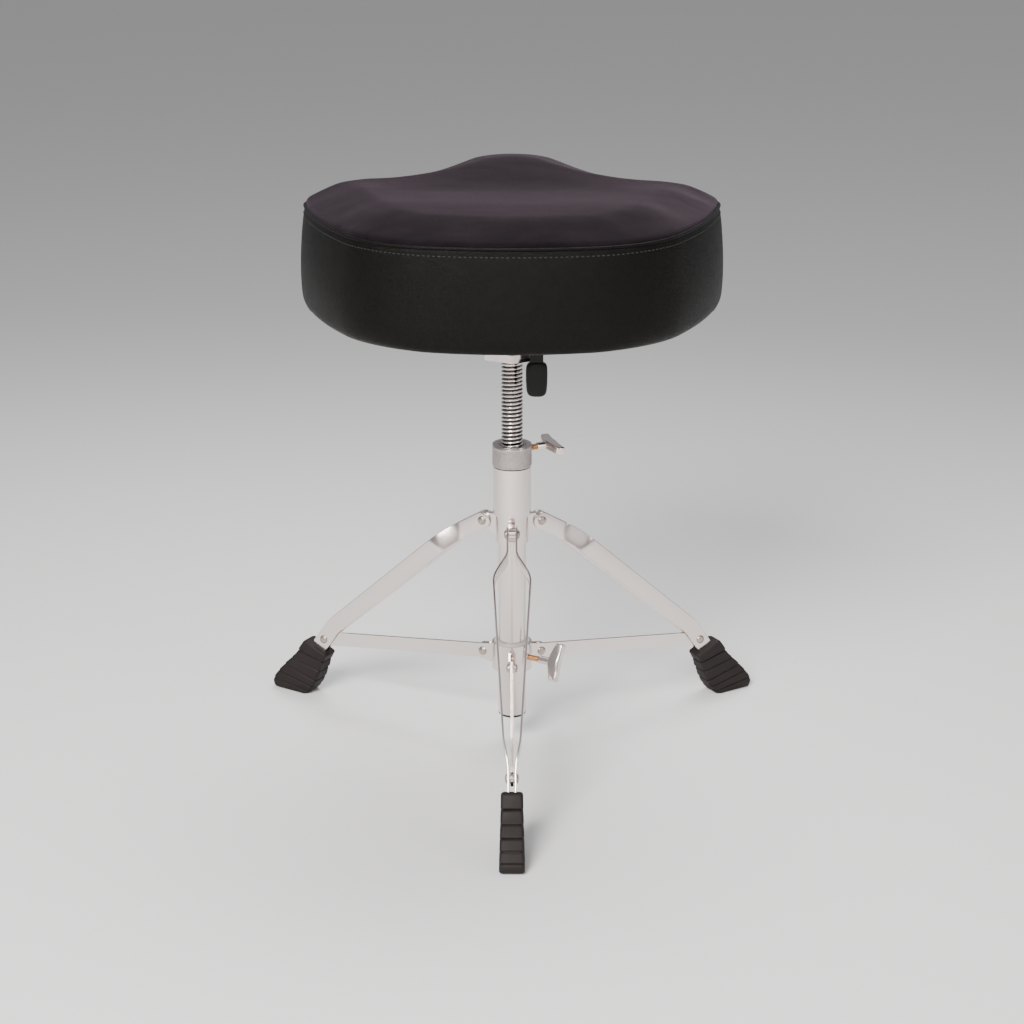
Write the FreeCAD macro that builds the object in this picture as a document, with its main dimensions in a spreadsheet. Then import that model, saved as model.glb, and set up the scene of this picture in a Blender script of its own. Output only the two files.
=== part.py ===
"""A drum throne: a saddle seat on a threaded column, over a double-braced folding tripod.

Millimetres. The origin lies on the floor on the column's axis, +Z is up and +Y points the way the
seat's nose points. The front leg points along -Y, the other two at 30 and 150 degrees.
"""
import FreeCAD, Part
import math
import os
import re
import Sketcher
from FreeCAD import Placement, Rotation, Vector

SIZES = {
    # column
    "tube_r": 14.3, "tube_bore": 12.8, "tube_bottom": 33, "tube_top": 300,
    "plug_depth": 15, "plug_flange": 3,
    "sleeve_r": 19.05, "sleeve_bore": 17.55, "sleeve_bottom": 252, "sleeve_top": 302,
    "spindle_r": 11, "thread_gap": 0.06, "spindle_bottom": 160, "spindle_top": 450,
    "guide_length": 26, "stop_r": 12.7, "stop_length": 12,
    "washer_r": 18.5, "washer_thick": 0.8,
    "collar_r": 19.95, "collar_bottom": 302.9, "collar_top": 326, "countersink": 3.5,
    # wing bolts
    "stud_r": 3, "wing_span": 20, "wing_rise": 12.5, "wing_thick": 7.5, "wing_neck_r": 4,
    "wing_neck": 12, "collar_bolt_height": 319, "collar_bolt_azimuth": 25,
    "collar_bolt_roll": -83, "collar_bolt_reach": 27,
    "hub_bolt_height": 97, "hub_bolt_azimuth": -28, "hub_bolt_roll": -26, "hub_bolt_reach": 32,
    # upper hub
    "hub_bottom": 222, "upper_hub_r": 16.6, "leg_pivot_r": 32.6, "leg_pivot_z": 239.8,
    "ear_half": 3.2, "ear_round": 8, "rivet_r": 3, "rivet_gap": 0.06, "dome_r": 5, "dome_rise": 2.6,
    # lower hub, which slides on the tube
    "slider_bottom": 83, "slider_top": 112, "slider_r": 20.5, "slider_bore": 16.5,
    "brace_pivot_r": 33.7, "brace_pivot_z": 94.8, "cheek_half": 3.5, "cheek_gap": 1.75,
    "cheek_round": 8.5, "slide_gap": 0.08,
    # braces
    "tie_r": 236.1, "tie_z": 67.2, "brace_width": 15, "brace_half": 1.5, "bush_r": 4.5,
    "bush_bore": 3.2, "bush_half": 2.2,
    # leg straps: three straight runs in the leg's plane, and the bow out of it
    "strap_half": 9, "strap_thick": 2, "run_a": 43, "angle_a": 31, "run_b": 204.6, "angle_b": 40.9,
    "run_c": 62, "angle_c": 54, "near_offset": 4.5, "bow_offset": 18.5, "far_offset": 8,
    "toe_offset": 3.5, "bow_start": 60, "bow_full": 80, "bow_end": 214, "toe_start": 230,
    "strap_tail": 270, "blank_width": 60,
    # rubber feet
    "foot_half": 11.5, "foot_round": 2.5, "notch_floor": 52,
    # seat bracket
    "plate_half": 62, "plate_bottom": 456.2, "plate_top": 460.2, "socket_r": 15.5, "flange_r": 31,
    "flange_bottom": 416, "flange_top": 424, "screw_x": 24.3, "screw_z": 437, "clamp_ear": 8,
    "slit_half": 1.5, "bolt_spacing": 96, "bolt_r": 3, "bolt_head": 5.5, "nut_r": 9,
    # clamp lever
    "lever_y": -28, "lever_half": 5, "neck_half": 6.5, "grip_half": 10.5, "grip_bottom": 383,
    "grip_top": 417.5, "grip_round": 4.5,
    # seat
    "cloth_bottom": 460.2, "cloth_top": 461.2, "board_top": 473.2, "board_inset": 9,
    "band_bottom": 459, "seam": 558, "skin": 2, "seat_top": 600, "crown_round": 17,
    "hem_round": 7, "piping_out": 1.2, "piping_half": 1.5, "board_gap": 0.2, "hole_gap": 1.2,
    # how far cutting shapes reach past the seat, and past its middle sideways
    "beyond": 20, "seat_reach": 300,
}
LEGS = {"front": -90, "back_right": 30, "back_left": 150}

# Seat outline from the middle of its rear edge round to the nose, right half:
# (radius, turn in degrees) of each tangent arc, negative where it turns back for the thigh.
REAR_EDGE_Y = -173
OUTLINE_ARCS = [(368, 12.5), (112, 49.4), (495, 19.1), (54, 115.7), (-64, -73)]

# Crown of the seat along its middle, rear to nose: (y, z).
CROWN = [(-230, 579), (-120, 580), (-40, 576), (35, 577), (90, 586), (135, 594), (230, 594)]

# Rubber foot in its leg's plane, (distance from the column, height), from the heel round.
FOOT_OUTLINE = [(260, 0), (297, 0), (304, 9), (290, 27), (272.4, 45), (259, 64.3),
                (229.5, 50.6), (235.2, 38.8), (245.5, 14.4), (255, 2)]

document = FreeCAD.newDocument("DrumThrone")
sheet = document.addObject("Spreadsheet::Sheet", "Sizes")
for row, (alias, value) in enumerate(SIZES.items(), start=1):
    sheet.set(f"A{row}", alias)
    sheet.set(f"B{row}", str(value))
    sheet.setAlias(f"B{row}", alias)
document.recompute()

size = {alias: float(sheet.get(alias)) for alias in SIZES}
nodes = []


def bound(expression):
    """The expression with every size name pointed at the sheet."""
    return re.sub(r"\b(?!sin\b|cos\b|tan\b|sqrt\b)([a-z]\w*)", r"Sizes.\1", str(expression))


def bind(thing, name, expression):
    thing.setExpression(name, bound(expression))


def node(thing, label):
    """Name a finished piece and list it for writing."""
    thing.Label = label
    nodes.append(thing)
    return thing


def new_body(name):
    return document.addObject("PartDesign::Body", name)


def own_plane(body, role):
    return next(f for f in body.Origin.OriginFeatures if f.Role == role)


def draw(body, plane, outlines=(), circles=(), shift=None):
    """A sketch on one of the body's own planes, each corner, centre and radius bound to the sheet."""
    sketch = body.newObject("Sketcher::SketchObject", body.Name + "_sketch")
    sketch.AttachmentSupport = [(own_plane(body, plane), "")]
    sketch.MapMode = "FlatFace"
    if shift is not None:
        bind(sketch, "AttachmentOffset.Base.z", shift)
    for corners in outlines:
        draw_polygon(sketch, corners)
    for x, y, radius in circles:
        draw_circle(sketch, x, y, radius)
    document.recompute()
    return sketch


def pin_point(sketch, geometry, point, x, y):
    for kind, expression in (("DistanceX", x), ("DistanceY", y)):
        index = sketch.addConstraint(Sketcher.Constraint(kind, -1, 1, geometry, point, 1.0))
        bind(sketch, f"Constraints[{index}]", expression)


def draw_polygon(sketch, corners):
    count = len(corners)
    first = sketch.GeometryCount
    ring = [Vector(math.cos(2 * math.pi * i / count), math.sin(2 * math.pi * i / count), 0)
            for i in range(count)]
    for i in range(count):
        sketch.addGeometry(Part.LineSegment(ring[i], ring[(i + 1) % count]))
    for i in range(count):
        following = first + (i + 1) % count
        sketch.addConstraint(Sketcher.Constraint("Coincident", first + i, 2, following, 1))
    for i, (x, y) in enumerate(corners):
        pin_point(sketch, first + i, 1, x, y)


def draw_circle(sketch, x, y, radius):
    index = sketch.addGeometry(Part.Circle(Vector(1, 1, 0), Vector(0, 0, 1), 1))
    pin_point(sketch, index, 3, x, y)
    constraint = sketch.addConstraint(Sketcher.Constraint("Radius", index, 1.0))
    bind(sketch, f"Constraints[{constraint}]", radius)


def pad(body, sketch, length, midplane=False):
    feature = body.newObject("PartDesign::Pad", body.Name + "_pad")
    feature.Profile = sketch
    feature.Midplane = midplane
    bind(feature, "Length", length)
    return feature


def cut(body, sketch, length=None):
    """Cut the sketch through the whole piece, or a middle slab of the given thickness."""
    feature = body.newObject("PartDesign::Pocket", body.Name + "_cut")
    feature.Profile = sketch
    feature.Midplane = True
    if length is None:
        feature.Type = "ThroughAll"
    else:
        bind(feature, "Length", length)
    return feature


def turn(body, corners):
    """A solid of revolution about the body's Z axis, from its half outline (radius, height)."""
    sketch = draw(body, "XZ_Plane", [corners])
    feature = body.newObject("PartDesign::Revolution", body.Name + "_turned")
    feature.Profile = sketch
    feature.ReferenceAxis = (sketch, ["V_Axis"])
    feature.Angle = 360
    return feature


def around(body, features):
    """Repeat the features three times round the body's Z axis."""
    pattern = body.newObject("PartDesign::PolarPattern", body.Name + "_round")
    pattern.Originals = features
    pattern.Axis = (own_plane(body, "Z_Axis"), [""])
    pattern.Angle = 360
    pattern.Occurrences = 3
    body.Tip = pattern
    return pattern


def drill(body, radius, length, placement):
    """A round hole along the placement's Z axis."""
    hole = body.newObject("PartDesign::SubtractiveCylinder", body.Name + "_hole")
    bind(hole, "Radius", radius)
    bind(hole, "Height", length)
    hole.Placement = placement
    return hole


def ring_outline(inner, outer, bottom, top):
    return [(inner, bottom), (outer, bottom), (outer, top), (inner, top)]


def ring(label, inner, outer, bottom, top):
    """A plain tube, washer or bush on the column's axis."""
    body = new_body(label)
    turn(body, ring_outline(inner, outer, bottom, top))
    return node(body, label)


def group(label, pieces):
    """Several separate solids in one node."""
    compound = document.addObject("Part::Compound", label)
    compound.Links = pieces
    return node(compound, label)


def bend_corners(path, half_width):
    """Outline of a flat bar that follows (x, y, direction) points; directions are degrees down."""
    upper, lower = [], []
    for index, (x, y, direction) in enumerate(path):
        before = path[max(index - 1, 0)][2]
        middle = f"(({before}) + ({direction})) / 2"
        reach = f"({half_width}) / cos((({direction}) - ({before})) / 2)"
        upper.append((f"{x} + {reach} * sin({middle})", f"{y} + {reach} * cos({middle})"))
        lower.append((f"{x} - {reach} * sin({middle})", f"{y} - {reach} * cos({middle})"))
    return upper + lower[::-1]


def in_leg_plane(azimuth, radius, height):
    """Placement whose Z axis crosses a leg's plane at the given distance and height."""
    across = Placement(Vector(radius, 0, height), Rotation(Vector(1, 0, 0), -90))
    return Placement(Vector(), Rotation(Vector(0, 0, 1), azimuth)) * across


def outward(azimuth, height, distance, roll=0.0):
    """Placement whose Z axis points away from the column."""
    rolled = Rotation(Vector(0, 0, 1), azimuth) * Rotation(Vector(0, 1, 0), 90)
    placement = Placement(Vector(0, 0, height), rolled)
    return placement * Placement(Vector(0, 0, distance), Rotation(Vector(0, 0, 1), roll))


# ---------------------------------------------------------------- column

def make_column():
    ring("lower_tube", "tube_bore", "tube_r", "tube_bottom", "tube_top")
    ring("upper_sleeve", "sleeve_bore", "sleeve_r", "sleeve_bottom", "sleeve_top")
    ring("sleeve_bush", "tube_r", "sleeve_bore", "sleeve_bottom", "tube_top")
    ring("collar_washer", "spindle_r + 0.5", "washer_r", "sleeve_top", "sleeve_top + washer_thick")

    plug = new_body("tube_end_plug")
    turn(plug, [
        (0, "tube_bottom - plug_flange"), ("tube_r - 1.5", "tube_bottom - plug_flange"),
        ("tube_r", "tube_bottom - plug_flange + 1.5"), ("tube_r", "tube_bottom"),
        ("tube_bore", "tube_bottom"), ("tube_bore", "tube_bottom + plug_depth"),
        (0, "tube_bottom + plug_depth")])
    node(plug, "tube_end_plug")

    guide = new_body("spindle_guide")
    bore = "spindle_r + thread_gap"
    turn(guide, [
        (bore, "tube_top - guide_length"), ("tube_bore", "tube_top - guide_length"),
        ("tube_bore", "tube_top"), ("sleeve_bore", "tube_top"), ("sleeve_bore", "sleeve_top"),
        (bore, "sleeve_top")])
    node(guide, "spindle_guide")

    spindle = new_body("threaded_spindle")
    turn(spindle, [
        (0, "spindle_bottom"), ("spindle_r", "spindle_bottom"), ("spindle_r", "spindle_top - 1"),
        ("spindle_r - 1", "spindle_top"), (0, "spindle_top")])
    node(spindle, "threaded_spindle")
    ring("spindle_stop", "spindle_r", "stop_r", "spindle_bottom", "spindle_bottom + stop_length")


def make_lock_collar():
    collar = new_body("lock_collar")
    bore = "spindle_r + thread_gap"
    turn(collar, [
        (bore, "collar_bottom"), ("collar_r - 0.8", "collar_bottom"),
        ("collar_r", "collar_bottom + 0.8"), ("collar_r", "collar_top - 1"),
        ("collar_r - 1", "collar_top"), (f"{bore} + countersink", "collar_top"),
        (bore, "collar_top - countersink")])
    drill(collar, "stud_r + thread_gap", "collar_r + 2",
          outward(size["collar_bolt_azimuth"], size["collar_bolt_height"], 0))
    node(collar, "lock_collar")


def make_wing_bolt(name, tip):
    """A stud along its own Z axis, and the cast neck and wings on its outer end."""
    reach, root = f"{name}_reach", f"({name}_reach + wing_neck)"
    place = outward(size[f"{name}_azimuth"], size[f"{name}_height"], 0, size[f"{name}_roll"])
    stud = new_body(f"{name}_stud")
    turn(stud, [
        (0, tip), ("stud_r - 0.6", tip), ("stud_r", f"{tip} + 0.6"), ("stud_r", reach), (0, reach)])
    stud.Placement = place
    node(stud, f"{name}_stud")

    wing = new_body(f"{name}_wing")
    turn(wing, [
        (0, reach), ("wing_neck_r - 0.8", reach), ("wing_neck_r", f"{reach} + 0.8"),
        ("wing_neck_r", f"{root} + wing_rise - 3"), ("wing_neck_r - 1.5", f"{root} + wing_rise - 1"),
        (0, f"{root} + wing_rise - 1")])
    blade = draw(wing, "XZ_Plane", [[
        (0, f"{root} - 1"), ("wing_neck_r + 1", root),
        ("wing_span - 5", f"{root} + 4"), ("wing_span - 1", f"{root} + 5.5"),
        ("wing_span", f"{root} + wing_rise - 1.5"), ("wing_span - 5", f"{root} + wing_rise"),
        ("wing_neck_r", f"{root} + wing_rise - 1"), ("-wing_neck_r", f"{root} + wing_rise - 1"),
        ("-wing_span + 5", f"{root} + wing_rise"), ("-wing_span", f"{root} + wing_rise - 1.5"),
        ("-wing_span + 1", f"{root} + 5.5"), ("-wing_span + 5", f"{root} + 4"),
        ("-wing_neck_r - 1", root)]])
    pad(wing, blade, "wing_thick", midplane=True)
    wing.Placement = place
    node(wing, f"{name}_wing")


# ---------------------------------------------------------------- hubs

def make_upper_hub():
    hub = new_body("upper_hub")
    turn(hub, ring_outline("tube_r", "upper_hub_r", "hub_bottom", "sleeve_bottom"))
    ear = pad(hub, draw(hub, "XZ_Plane", [[
        ("tube_r + 1", "hub_bottom + 3"), ("leg_pivot_r", "leg_pivot_z - ear_round"),
        ("leg_pivot_r", "leg_pivot_z + ear_round"), ("tube_r + 1", "sleeve_bottom - 3")]]),
        "2 * ear_half", midplane=True)
    tip = pad(hub, draw(hub, "XZ_Plane", circles=[("leg_pivot_r", "leg_pivot_z", "ear_round")]),
              "2 * ear_half", midplane=True)
    hole = cut(hub, draw(hub, "XZ_Plane", circles=[("leg_pivot_r", "leg_pivot_z", "rivet_r")]))
    around(hub, [ear, tip, hole])
    hub.Placement = Placement(Vector(), Rotation(Vector(0, 0, 1), LEGS["back_right"]))
    node(hub, "upper_hub")


def make_lower_hub():
    hub = new_body("lower_hub")
    turn(hub, ring_outline("slider_bore", "slider_r", "slider_bottom", "slider_top"))
    web = pad(hub, draw(hub, "XZ_Plane", [[
        ("slider_bore + 2", "slider_bottom + 1"), ("brace_pivot_r - 5", "slider_bottom + 3"),
        ("brace_pivot_r + 4", "brace_pivot_z - cheek_round + 1.1"),
        ("brace_pivot_r", "brace_pivot_z + cheek_round"), ("slider_bore + 2", "slider_top - 6")]]),
        "2 * cheek_half", midplane=True)
    circle = [("brace_pivot_r", "brace_pivot_z", "cheek_round")]
    tip = pad(hub, draw(hub, "XZ_Plane", circles=circle), "2 * cheek_half", midplane=True)
    outer = "brace_pivot_r + 2 * cheek_round"
    slot = cut(hub, draw(hub, "XY_Plane", [[
        ("slider_r + 2", "-cheek_gap"), (outer, "-cheek_gap"), (outer, "cheek_gap"),
        ("slider_r + 2", "cheek_gap")]]))
    hole = cut(hub, draw(hub, "XZ_Plane", circles=[("brace_pivot_r", "brace_pivot_z", "rivet_r")]))
    around(hub, [web, tip, slot, hole])
    local_azimuth = size["hub_bolt_azimuth"] - LEGS["back_right"]
    drill(hub, "stud_r + thread_gap", "slider_r + 2",
          outward(local_azimuth, size["hub_bolt_height"], 0))
    hub.Placement = Placement(Vector(), Rotation(Vector(0, 0, 1), LEGS["back_right"]))
    node(hub, "lower_hub")

    bush = new_body("lower_hub_bush")
    bore = "tube_r + slide_gap"
    turn(bush, [
        (bore, "slider_bottom"), ("slider_bore", "slider_bottom"), ("slider_bore", "slider_top"),
        ("slider_bore + 2", "slider_top"), ("slider_bore + 2", "slider_top + 1.5"),
        (bore, "slider_top + 1.5")])
    drill(bush, "stud_r + 0.3", "slider_r",
          outward(size["hub_bolt_azimuth"], size["hub_bolt_height"], 0))
    node(bush, "lower_hub_bush")


DOME = [(1, 0), (0.85, 0.55), (0.45, 1)]  # a head's outline, in its radius and its rise


def dome_outline(start, way=1):
    """Half outline of a rivet's head, rising from start, or falling from it where way is -1."""
    return [(f"dome_r * {r}", f"{start} + {way} * dome_rise * {rise}") for r, rise in DOME]


def make_rivet(name, half_grip, placement):
    """A shank with a domed head on each end, along the placement's Z axis."""
    rivet = new_body(name)
    base, end = f"-({half_grip})", f"{half_grip} + dome_rise"
    turn(rivet, [(0, f"-({end})"), *dome_outline(base, -1)[::-1], ("rivet_r", base),
                 ("rivet_r", half_grip), *dome_outline(half_grip), (0, end)])
    rivet.Placement = placement
    return rivet


def make_rivets():
    """The riveted axles at the upper hub and at the lower hub."""
    pivots = [
        make_rivet(f"leg_pivot_{leg}", "near_offset + strap_thick / 2 + 0.3",
                   in_leg_plane(azimuth, size["leg_pivot_r"], size["leg_pivot_z"]))
        for leg, azimuth in LEGS.items()]
    group("leg_pivot_rivets", pivots)
    pivots = [
        make_rivet(f"brace_pivot_{leg}", "cheek_half",
                   in_leg_plane(azimuth, size["brace_pivot_r"], size["brace_pivot_z"]))
        for leg, azimuth in LEGS.items()]
    group("brace_pivot_rivets", pivots)


# ---------------------------------------------------------------- legs

def strap_path():
    """Centre line of a strap in its leg's plane: the pivot, two bends and the end in the foot."""
    bend_a = ("(leg_pivot_r + run_a * cos(angle_a))", "(leg_pivot_z - run_a * sin(angle_a))")
    bend_b = (f"({bend_a[0]} + run_b * cos(angle_b))", f"({bend_a[1]} - run_b * sin(angle_b))")
    end = (f"({bend_b[0]} + run_c * cos(angle_c))", f"({bend_b[1]} - run_c * sin(angle_c))")
    return [("leg_pivot_r", "leg_pivot_z", "angle_a"), (*bend_a, "angle_b"), (*bend_b, "angle_c"),
            (*end, "angle_c")]


def strap_outline():
    """The strap's side shape round that line."""
    return bend_corners(strap_path(), "strap_half")


def make_strap(leg, azimuth, side, sign):
    """One strap of a leg: its side shape, cut to the bowed thickness seen from above."""
    profile = new_body(f"{leg}_{side}_profile")
    pad(profile, draw(profile, "XZ_Plane", [strap_outline()]), "blank_width", midplane=True)
    pad(profile, draw(profile, "XZ_Plane", circles=[("leg_pivot_r", "leg_pivot_z", "strap_half")]),
        "blank_width", midplane=True)
    cut(profile, draw(profile, "XZ_Plane", circles=[
        ("leg_pivot_r", "leg_pivot_z", "rivet_r + rivet_gap"), ("tie_r", "tie_z", "rivet_r")]))

    bow = new_body(f"{leg}_{side}_bow")
    stations = [
        ("leg_pivot_r - strap_half - 2", "near_offset"), ("bow_start", "near_offset"),
        ("bow_full", "bow_offset"), ("bow_end", "far_offset"), ("toe_start", "toe_offset"),
        ("strap_tail", "toe_offset")]
    inner = [(r, f"{sign} * ({offset} - strap_thick / 2)") for r, offset in stations]
    outer = [(r, f"{sign} * ({offset} + strap_thick / 2)") for r, offset in stations]
    pad(bow, draw(bow, "XY_Plane", [inner + outer[::-1]]), "leg_pivot_z + 2 * strap_half")

    strap = document.addObject("Part::Common", f"{leg}_strap_{side}")
    strap.Base = profile
    strap.Tool = bow
    strap.Placement = Placement(Vector(), Rotation(Vector(0, 0, 1), azimuth))
    node(strap, f"{leg}_strap_{side}")


def make_tie_rivet(leg, azimuth):
    """The rivet through the straps and the brace's bush: a head and stub in each strap."""
    halves = []
    for side, flip in (("left", 0), ("right", 180)):
        half = new_body(f"{leg}_tie_{side}")
        inner = "toe_offset - strap_thick / 2"
        start = "toe_offset + strap_thick / 2"
        turn(half, [(0, inner), ("rivet_r", inner), ("rivet_r", start), *dome_outline(start),
                    (0, f"{start} + dome_rise")])
        across = in_leg_plane(azimuth, size["tie_r"], size["tie_z"])
        half.Placement = across * Placement(Vector(), Rotation(Vector(1, 0, 0), flip))
        halves.append(half)
    group(f"{leg}_tie_rivet", halves)


def make_foot(leg, azimuth):
    """A rubber foot moulded over the straps, open between them at its top."""
    foot = new_body(f"{leg}_foot")
    block = pad(foot, draw(foot, "XZ_Plane", [FOOT_OUTLINE]), "2 * foot_half", midplane=True)
    document.recompute()
    rounded = foot.newObject("PartDesign::Fillet", f"{leg}_foot_round")
    level = [f"Edge{i}" for i, edge in enumerate(block.Shape.Edges, start=1)
             if edge.BoundBox.YLength < 0.01]
    rounded.Base = (block, level)
    bind(rounded, "Radius", "foot_round")
    cut(foot, draw(foot, "XZ_Plane", [strap_outline()]),
        "2 * toe_offset + strap_thick")
    cut(foot, draw(foot, "XZ_Plane", [[
        ("tie_r - 6", "notch_floor"), ("tie_r + 45", "notch_floor"), ("tie_r + 45", "tie_z + 20"),
        ("tie_r - 6", "tie_z + 20")]]), "2 * toe_offset - strap_thick")
    foot.Placement = Placement(Vector(), Rotation(Vector(0, 0, 1), azimuth))
    node(foot, f"{leg}_foot")


def make_brace(leg, azimuth):
    """The flat tie bar from the lower hub to the leg, with the bush in its outer eye."""
    length = "sqrt((tie_r - brace_pivot_r)^2 + (brace_pivot_z - tie_z)^2)"
    reach = size["tie_r"] - size["brace_pivot_r"]
    slope = math.degrees(math.atan2(size["brace_pivot_z"] - size["tie_z"], reach))
    place = Placement(Vector(), Rotation(Vector(0, 0, 1), azimuth)) * Placement(
        Vector(size["brace_pivot_r"], 0, size["brace_pivot_z"]), Rotation(Vector(0, 1, 0), slope))

    brace = new_body(f"{leg}_brace")
    half = "brace_width / 2"
    pad(brace, draw(brace, "XZ_Plane", [[
        (0, f"-{half}"), (length, f"-{half}"), (length, half), (0, half)]]),
        "2 * brace_half", midplane=True)
    pad(brace, draw(brace, "XZ_Plane", circles=[(0, 0, half)]), "2 * brace_half", midplane=True)
    pad(brace, draw(brace, "XZ_Plane", circles=[(length, 0, half)]), "2 * brace_half",
        midplane=True)
    cut(brace, draw(brace, "XZ_Plane", circles=[
        (0, 0, "rivet_r + rivet_gap"), (length, 0, "bush_r")]))
    brace.Placement = place
    node(brace, f"{leg}_brace")

    bush = new_body(f"{leg}_brace_bush")
    eye = draw(bush, "XZ_Plane", circles=[(length, 0, "bush_r"), (length, 0, "bush_bore")])
    pad(bush, eye, "2 * bush_half", midplane=True)
    bush.Placement = place
    node(bush, f"{leg}_brace_bush")


def make_legs():
    for leg, azimuth in LEGS.items():
        make_strap(leg, azimuth, "left", 1)
        make_strap(leg, azimuth, "right", -1)
        make_tie_rivet(leg, azimuth)
        make_foot(leg, azimuth)
        make_brace(leg, azimuth)


# ---------------------------------------------------------------- seat bracket and clamp

def make_bracket():
    """Plate, socket, flange and split clamp ears in one welded piece."""
    bracket = new_body("seat_bracket")
    corner = [("-plate_half", "-plate_half"), ("plate_half", "-plate_half"),
              ("plate_half", "plate_half"), ("-plate_half", "plate_half")]
    pad(bracket, draw(bracket, "XY_Plane", [corner], shift="plate_bottom"),
        "plate_top - plate_bottom")
    pad(bracket, draw(bracket, "XY_Plane", circles=[(0, 0, "socket_r")], shift="flange_bottom"),
        "plate_bottom - flange_bottom")
    hexagon = [(f"flange_r * cos({60 * i + 30})", f"flange_r * sin({60 * i + 30})")
               for i in range(6)]
    pad(bracket, draw(bracket, "XY_Plane", [hexagon], shift="flange_bottom"),
        "flange_top - flange_bottom")
    pad(bracket, draw(bracket, "XZ_Plane", [[
        ("socket_r - 3", "screw_z - 10"), ("screw_x + 9", "screw_z - 10"),
        ("screw_x + 9", "screw_z + 10"), ("socket_r - 3", "screw_z + 10")]]),
        "2 * clamp_ear", midplane=True)
    cut(bracket, draw(bracket, "XY_Plane", circles=[(0, 0, "spindle_r + thread_gap")],
                      shift="flange_bottom"), "2 * (plate_top - flange_bottom) + 2")
    cut(bracket, draw(bracket, "XZ_Plane", [[
        ("spindle_r - 3", "flange_bottom - 5"), ("screw_x + 12", "flange_bottom - 5"),
        ("screw_x + 12", "plate_bottom - 2"), ("spindle_r - 3", "plate_bottom - 2")]]),
        "2 * slit_half")
    cut(bracket, draw(bracket, "XZ_Plane", circles=[("screw_x", "screw_z", "stud_r + thread_gap")]),
        "2 * plate_half")
    half = "bolt_spacing / 2"
    holes = [(f"{a} * {half}", f"{b} * {half}", "bolt_r") for a in (1, -1) for b in (1, -1)]
    cut(bracket, draw(bracket, "XY_Plane", circles=holes, shift="plate_bottom"), "4 * bolt_r")
    node(bracket, "seat_bracket")


def make_fasteners():
    """Four bolts up through the plate, and the nuts let into the board."""
    bolts, nuts = [], []
    half = size["bolt_spacing"] / 2
    for number, (a, b) in enumerate(((1, 1), (-1, 1), (-1, -1), (1, -1))):
        place = Placement(Vector(a * half, b * half, 0), Rotation())
        bolt = new_body(f"bolt_{number}")
        turn(bolt, [
            (0, "plate_bottom - 4"), ("bolt_head - 1", "plate_bottom - 4"),
            ("bolt_head", "plate_bottom - 3"), ("bolt_head", "plate_bottom"),
            ("bolt_r", "plate_bottom"), ("bolt_r", "board_top"), (0, "board_top")])
        bolt.Placement = place
        bolts.append(bolt)
        nut = new_body(f"nut_{number}")
        turn(nut, [
            ("bolt_r", "cloth_top + 1"), ("bolt_r + 1.2", "cloth_top + 1"),
            ("bolt_r + 1.2", "board_top"), ("nut_r", "board_top"), ("nut_r", "board_top + 1.2"),
            ("bolt_r", "board_top + 1.2")])
        nut.Placement = place
        nuts.append(nut)
    group("bracket_bolts", bolts)
    group("tee_nuts", nuts)


def make_clamp():
    """The clamp screw through the bracket's ears, and the lever that hangs from its head."""
    screw = new_body("clamp_screw")
    turn(screw, [
        (0, "-clamp_ear - 4"), ("stud_r + 2.5", "-clamp_ear - 4"), ("stud_r + 2.5", "-clamp_ear"),
        ("stud_r", "-clamp_ear"), ("stud_r", "-lever_y + lever_half - 2"),
        (0, "-lever_y + lever_half - 2")])
    place = Placement(Vector(size["screw_x"], 0, size["screw_z"]), Rotation(Vector(1, 0, 0), 90))
    screw.Placement = place
    node(screw, "clamp_screw")

    neck = new_body("lever_neck")
    turn(neck, [
        ("stud_r + thread_gap", "-lever_y - lever_half - 9"),
        ("neck_half", "-lever_y - lever_half - 9"),
        ("neck_half + 1.5", "-lever_y - lever_half"), ("neck_half + 1.5", "-lever_y + lever_half - 1"),
        ("stud_r + thread_gap", "-lever_y + lever_half - 1")])
    arm = draw(neck, "XY_Plane", [[
        ("-neck_half", "grip_top - screw_z"), ("neck_half", "grip_top - screw_z"),
        ("neck_half", "-stud_r - 1.5"), ("-neck_half", "-stud_r - 1.5")]],
        shift="-lever_y - lever_half + 1")
    pad(neck, arm, "2 * lever_half - 2")
    neck.Placement = place
    node(neck, "lever_neck")

    grip = new_body("lever_grip")
    block = pad(grip, draw(grip, "XY_Plane", [[
        ("-grip_half + 1", "grip_bottom - screw_z"), ("grip_half - 1", "grip_bottom - screw_z"),
        ("grip_half", "grip_top - screw_z"), ("-grip_half", "grip_top - screw_z")]],
        shift="-lever_y - lever_half"), "2 * lever_half")
    document.recompute()
    upright = [f"Edge{i}" for i, edge in enumerate(block.Shape.Edges, start=1)
               if edge.BoundBox.ZLength > 2 * size["lever_half"] - 0.1]
    rounded = grip.newObject("PartDesign::Fillet", "grip_round")
    rounded.Base = (block, upright)
    bind(rounded, "Radius", "grip_round")
    grip.Placement = place
    node(grip, "lever_grip")


# ---------------------------------------------------------------- seat

def outline_arcs():
    """Centre, radius, start and end direction of every arc of the outline's right half."""
    arcs = []
    point, heading = Vector(0, REAR_EDGE_Y, 0), 0.0
    for radius, turned in OUTLINE_ARCS:
        centre = point + Vector(-math.sin(heading), math.cos(heading), 0) * radius
        arcs.append((centre, radius, heading, heading + math.radians(turned)))
        heading += math.radians(turned)
        point = centre + Vector(math.sin(heading), -math.cos(heading), 0) * radius
    nose = point.x / math.sin(heading)
    centre = point + Vector(-math.sin(heading), math.cos(heading), 0) * nose
    arcs.append((centre, nose, heading, math.pi))
    return arcs


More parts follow.
